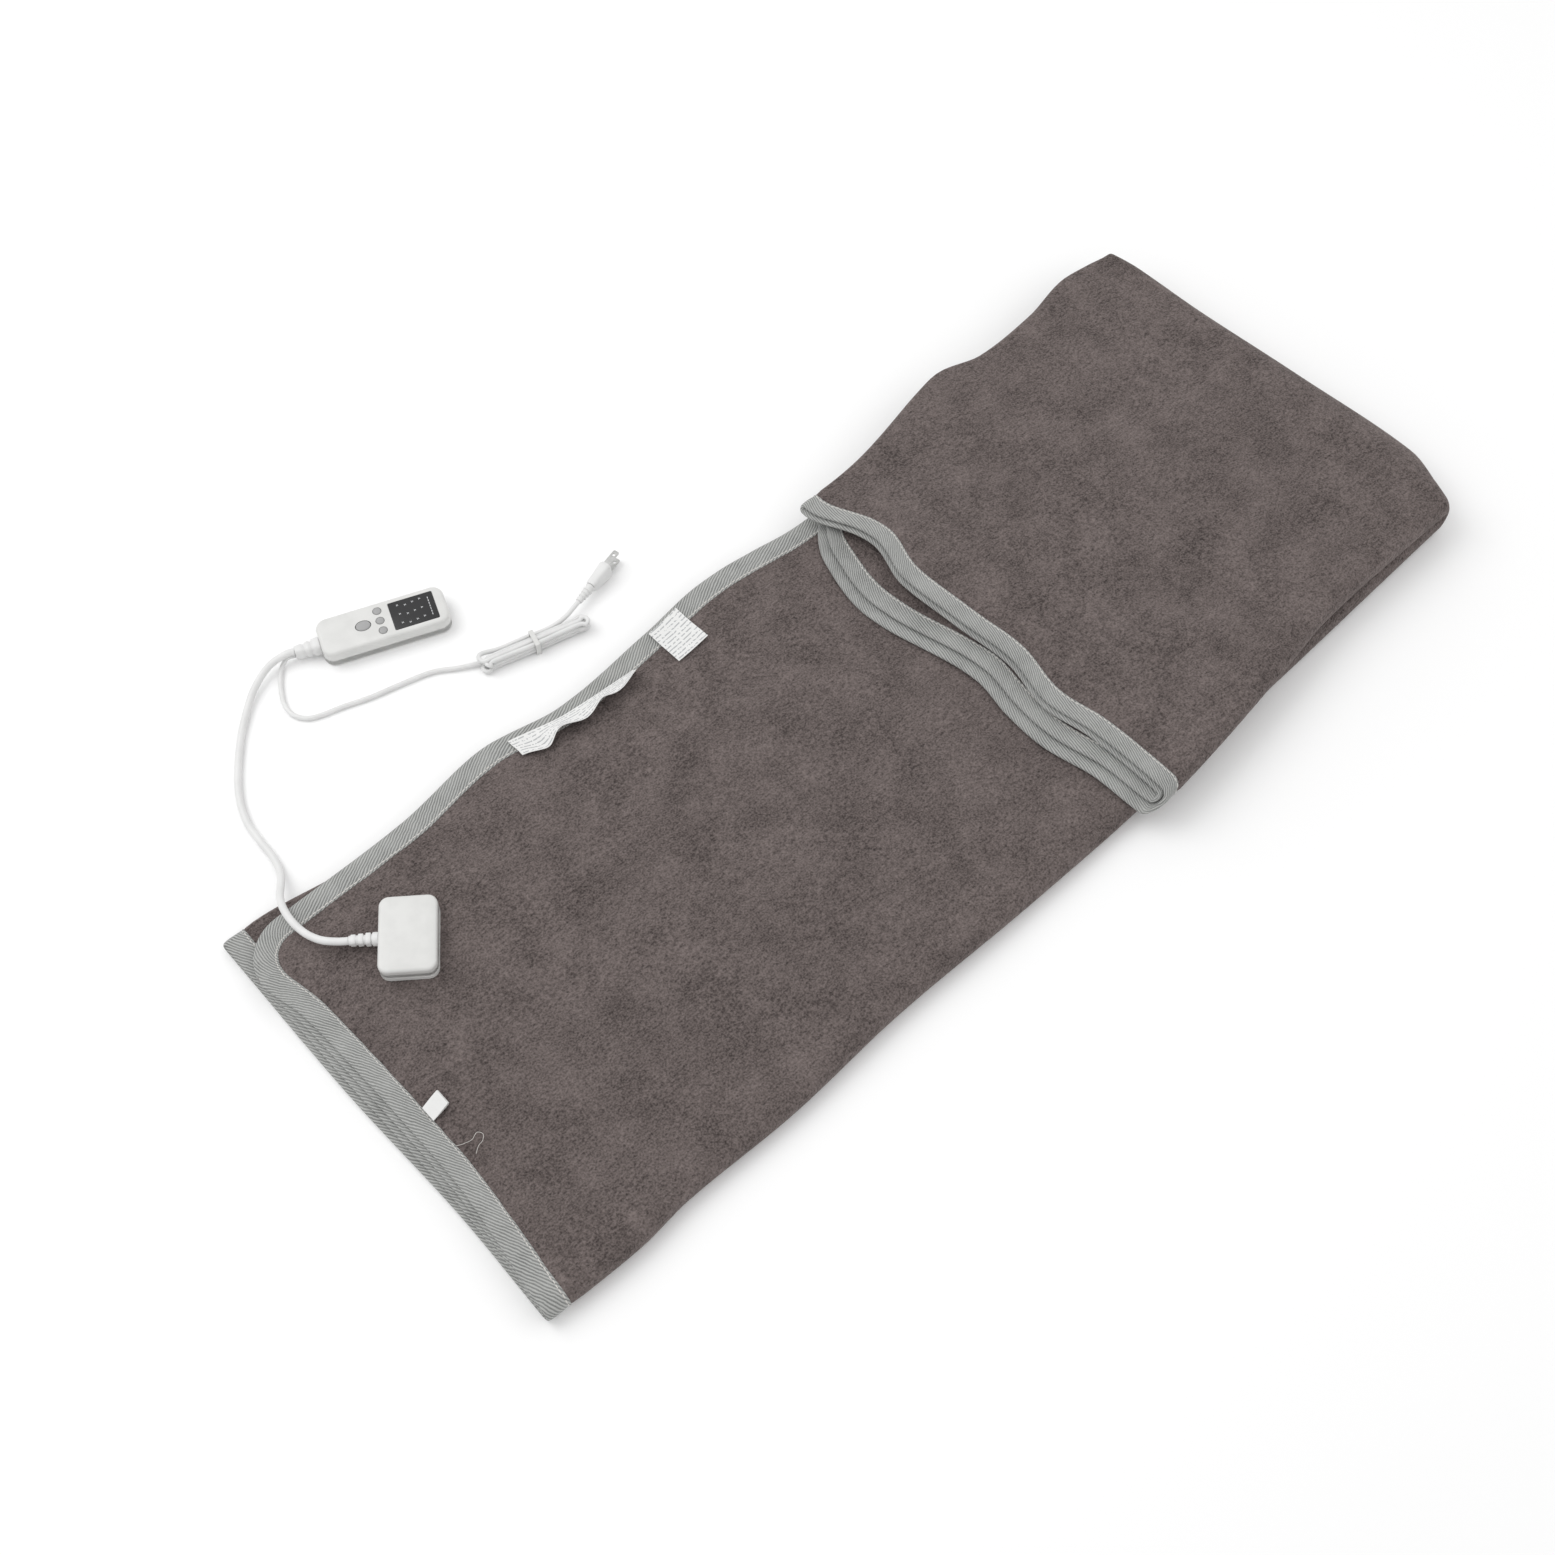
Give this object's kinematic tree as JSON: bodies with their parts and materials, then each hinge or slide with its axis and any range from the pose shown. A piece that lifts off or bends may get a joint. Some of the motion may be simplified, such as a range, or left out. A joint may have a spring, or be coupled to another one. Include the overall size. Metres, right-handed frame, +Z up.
{
  "type": "electric heating blanket",
  "caption": "Folded fleece electric heating blanket with ribbed edge binding, lift-off connector, corded hand controller with screen and keys, and a tied mains lead.",
  "frame": {"origin": "point on the flat underside of the folded blanket, at the middle of its folded width and 0.575 m from the near hem", "axes": "+X along the folded blanket towards the far fold, +Y towards the side of the free edges and the controller, +Z up"},
  "size_m": [1.1512, 0.6655, 0.046],
  "materials": {
    "fleece": "matte",
    "binding": "matte",
    "wire_jacket": "satin",
    "label": "matte",
    "white_plastic": "satin",
    "cord_jacket": "satin",
    "grey_button": "matte",
    "screen": "gloss",
    "contact_metal": "polished",
    "steel": "satin",
    "circuit_board": "matte",
    "silicone": "matte",
    "component": "matte"
  },
  "bodies": {
    "blanket": {"back_sheet_bend": "fleece", "back_sheet_stack": "fleece", "binding_bend_a": "binding", "binding_bend_b": "binding", "binding_stack": "binding", "button_pad": "silicone", "care_label": "label", "control_chip": "component", "controller_board": "circuit_board", "controller_bottom_shell": "white_plastic", "controller_screw_1": "steel", "controller_screw_2": "steel", "controller_top_shell": "white_plastic", "cord_boot": "cord_jacket", "display_module": "component", "display_window": "screen", "face_sheet_bend": "fleece", "face_sheet_stack": "fleece", "film_capacitor": "component", "fuse": "steel", "hank_tie": "white_plastic", "heating_wire_bend_a": "wire_jacket", "heating_wire_bend_b": "wire_jacket", "heating_wire_return": "wire_jacket", "heating_wire_stack": "wire_jacket", "link_cord": "cord_jacket", "loop_tag": "label", "mains_blade_1": "steel", "mains_blade_2": "steel", "mains_cord": "cord_jacket", "mains_hank": "cord_jacket", "mains_plug_body": "cord_jacket", "mains_plug_boot": "cord_jacket", "mains_tail": "cord_jacket", "socket_back_plate": "white_plastic", "socket_base": "white_plastic", "socket_pin_1": "contact_metal", "socket_pin_2": "contact_metal", "socket_rivet_1": "steel", "socket_rivet_2": "steel", "triac": "component", "warning_label": "label"},
    "flap": {"face_sheet_flap": "fleece", "back_sheet_flap": "fleece", "binding_flap": "binding", "heating_wire_flap": "wire_jacket"},
    "connector_plug": {"plug_lower_shell": "white_plastic", "plug_upper_shell": "white_plastic", "plug_contact_1": "contact_metal", "plug_contact_2": "contact_metal", "plug_screw_1": "steel", "plug_screw_2": "steel", "plug_strain_relief": "cord_jacket"},
    "power_button": {"power_button": "grey_button"},
    "timer_button": {"timer_button": "grey_button"},
    "heat_button": {"heat_button": "grey_button"},
    "light_button": {"light_button": "grey_button"}
  },
  "joints": [
    {"name": "flap_fold", "type": "hinge", "parent": "blanket", "child": "flap", "pos_m": [0.553, 0, 0.023], "axis": [0, 1, 0], "range_deg": [0, 180], "deforming": ["face_sheet_bend", "back_sheet_bend", "binding_bend_a", "binding_bend_b", "heating_wire_bend_a", "heating_wire_bend_b"]},
    {"name": "connector_lift", "type": "slide", "parent": "blanket", "child": "connector_plug", "axis": [0, 0, 1], "range_m": [0, 0.012]},
    {"name": "power_press", "type": "slide", "parent": "blanket", "child": "power_button", "axis": [0, 0, -1], "range_m": [0, 0.0006], "stiffness_N_per_m": 600},
    {"name": "timer_press", "type": "slide", "parent": "blanket", "child": "timer_button", "axis": [0, 0, -1], "range_m": [0, 0.0006], "stiffness_N_per_m": 600},
    {"name": "heat_press", "type": "slide", "parent": "blanket", "child": "heat_button", "axis": [0, 0, -1], "range_m": [0, 0.0006], "stiffness_N_per_m": 600},
    {"name": "light_press", "type": "slide", "parent": "blanket", "child": "light_button", "axis": [0, 0, -1], "range_m": [0, 0.0006], "stiffness_N_per_m": 600}
  ]
}
